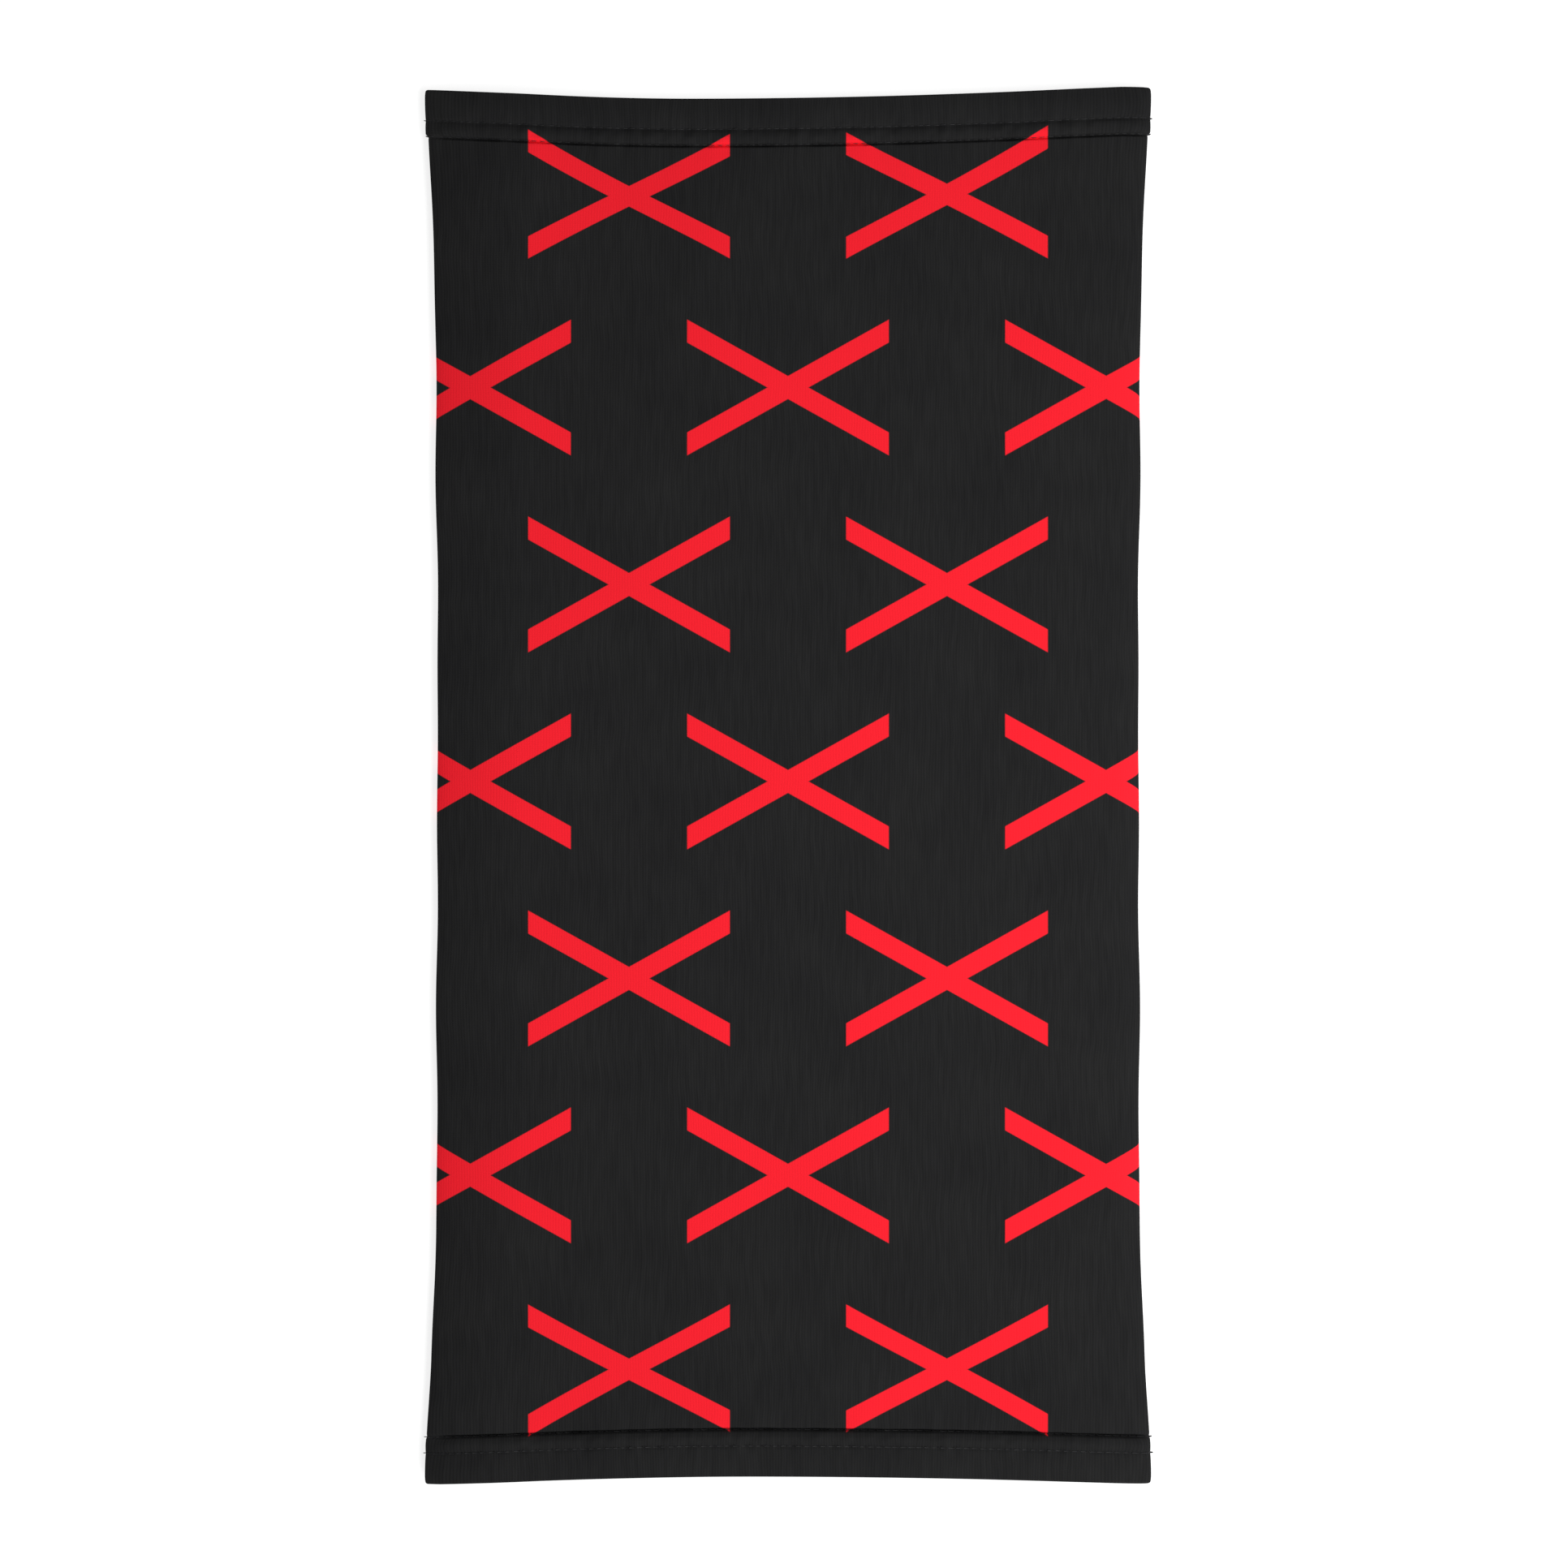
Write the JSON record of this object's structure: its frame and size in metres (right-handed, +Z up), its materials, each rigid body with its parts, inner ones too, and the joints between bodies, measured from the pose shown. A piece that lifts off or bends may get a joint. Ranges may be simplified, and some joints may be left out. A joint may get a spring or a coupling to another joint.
{
  "type": "neck gaiter",
  "caption": "Printed stretch-jersey tube worn round the neck and lower face, with cover-stitched hems and an overlocked back seam; it lies flat and opens into a tube.",
  "frame": {"origin": "under the middle of the tube, on the surface that its back lies on", "axes": "+Y along the tube to the top hem, +X across it to the right seen from the front, +Z up out of the front"},
  "size_m": [0.255, 0.49, 0.0094],
  "materials": {
    "printed_jersey": "matt polyester and elastane jersey, charcoal with red crosses printed on its outer face, white inside",
    "hem_thread": "black polyester sewing thread",
    "seam_thread": "black textured polyester overlock thread"
  },
  "bodies": {
    "back_centre": {"back_centre_left_bottom_stitching": "hem_thread", "back_centre_left_cloth": "printed_jersey", "back_centre_left_top_stitching": "hem_thread", "back_centre_right_bottom_stitching": "hem_thread", "back_centre_right_cloth": "printed_jersey", "back_centre_right_top_stitching": "hem_thread", "seam_lower_looper_thread": "seam_thread", "seam_needle_thread": "seam_thread", "seam_upper_looper_thread": "seam_thread"},
    "back_inner_left": {"back_inner_left_bottom_stitching": "hem_thread", "back_inner_left_cloth": "printed_jersey", "back_inner_left_top_stitching": "hem_thread"},
    "back_outer_left": {"back_outer_left_bottom_stitching": "hem_thread", "back_outer_left_cloth": "printed_jersey", "back_outer_left_top_stitching": "hem_thread"},
    "side_left": {"side_left_bottom_stitching": "hem_thread", "side_left_cloth": "printed_jersey", "side_left_top_stitching": "hem_thread"},
    "front_outer_left": {"front_outer_left_bottom_stitching": "hem_thread", "front_outer_left_cloth": "printed_jersey", "front_outer_left_top_stitching": "hem_thread"},
    "front_inner_left": {"front_inner_left_bottom_stitching": "hem_thread", "front_inner_left_cloth": "printed_jersey", "front_inner_left_top_stitching": "hem_thread"},
    "front_centre_left": {"front_centre_left_bottom_stitching": "hem_thread", "front_centre_left_cloth": "printed_jersey", "front_centre_left_top_stitching": "hem_thread"},
    "back_inner_right": {"back_inner_right_bottom_stitching": "hem_thread", "back_inner_right_cloth": "printed_jersey", "back_inner_right_top_stitching": "hem_thread"},
    "back_outer_right": {"back_outer_right_bottom_stitching": "hem_thread", "back_outer_right_cloth": "printed_jersey", "back_outer_right_top_stitching": "hem_thread"},
    "side_right": {"side_right_bottom_stitching": "hem_thread", "side_right_cloth": "printed_jersey", "side_right_top_stitching": "hem_thread"},
    "front_outer_right": {"front_outer_right_bottom_stitching": "hem_thread", "front_outer_right_cloth": "printed_jersey", "front_outer_right_top_stitching": "hem_thread"},
    "front_inner_right": {"front_inner_right_bottom_stitching": "hem_thread", "front_inner_right_cloth": "printed_jersey", "front_inner_right_top_stitching": "hem_thread"},
    "front_centre_right": {"front_centre_right_bottom_stitching": "hem_thread", "front_centre_right_cloth": "printed_jersey", "front_centre_right_top_stitching": "hem_thread"}
  },
  "joints": [
    {"name": "open_tube", "type": "hinge", "parent": "back_centre", "child": "back_inner_left", "pos_m": [-0.03213, 0, 0.00035], "axis": [0, 1, 0], "range_deg": [0, 45]},
    {"name": "back_outer_bend_left", "type": "hinge", "parent": "back_inner_left", "child": "back_outer_left", "pos_m": [-0.09638, 0, 0.00035], "axis": [0, 1, 0], "range_deg": [0, 45]},
    {"name": "side_bend_left", "type": "hinge", "parent": "back_outer_left", "child": "side_left", "pos_m": [-0.12415, 0, 0.00035], "axis": [0, -1, 0], "range_deg": [0, 90]},
    {"name": "front_outer_bend_left", "type": "hinge", "parent": "side_left", "child": "front_outer_left", "pos_m": [-0.12415, 0, 0.00905], "axis": [0, -1, 0], "range_deg": [0, 90]},
    {"name": "front_inner_bend_left", "type": "hinge", "parent": "front_outer_left", "child": "front_inner_left", "pos_m": [-0.09638, 0, 0.00905], "axis": [0, 1, 0], "range_deg": [0, 45]},
    {"name": "front_centre_bend_left", "type": "hinge", "parent": "front_inner_left", "child": "front_centre_left", "pos_m": [-0.03213, 0, 0.00905], "axis": [0, 1, 0], "range_deg": [0, 45]},
    {"name": "back_inner_bend_right", "type": "hinge", "parent": "back_centre", "child": "back_inner_right", "pos_m": [0.03213, 0, 0.00035], "axis": [0, -1, 0], "range_deg": [0, 45]},
    {"name": "back_outer_bend_right", "type": "hinge", "parent": "back_inner_right", "child": "back_outer_right", "pos_m": [0.09638, 0, 0.00035], "axis": [0, -1, 0], "range_deg": [0, 45]},
    {"name": "side_bend_right", "type": "hinge", "parent": "back_outer_right", "child": "side_right", "pos_m": [0.12415, 0, 0.00035], "axis": [0, 1, 0], "range_deg": [0, 90]},
    {"name": "front_outer_bend_right", "type": "hinge", "parent": "side_right", "child": "front_outer_right", "pos_m": [0.12415, 0, 0.00905], "axis": [0, 1, 0], "range_deg": [0, 90]},
    {"name": "front_inner_bend_right", "type": "hinge", "parent": "front_outer_right", "child": "front_inner_right", "pos_m": [0.09638, 0, 0.00905], "axis": [0, -1, 0], "range_deg": [0, 45]},
    {"name": "front_centre_bend_right", "type": "hinge", "parent": "front_inner_right", "child": "front_centre_right", "pos_m": [0.03213, 0, 0.00905], "axis": [0, -1, 0], "range_deg": [0, 45]}
  ],
  "couplings": [
    {"joint": "back_outer_bend_left", "follows": "open_tube", "ratio": 1},
    {"joint": "side_bend_left", "follows": "open_tube", "ratio": 2},
    {"joint": "front_outer_bend_left", "follows": "open_tube", "ratio": 2},
    {"joint": "front_inner_bend_left", "follows": "open_tube", "ratio": 1},
    {"joint": "front_centre_bend_left", "follows": "open_tube", "ratio": 1},
    {"joint": "back_inner_bend_right", "follows": "open_tube", "ratio": 1},
    {"joint": "back_outer_bend_right", "follows": "open_tube", "ratio": 1},
    {"joint": "side_bend_right", "follows": "open_tube", "ratio": 2},
    {"joint": "front_outer_bend_right", "follows": "open_tube", "ratio": 2},
    {"joint": "front_inner_bend_right", "follows": "open_tube", "ratio": 1},
    {"joint": "front_centre_bend_right", "follows": "open_tube", "ratio": 1}
  ]
}
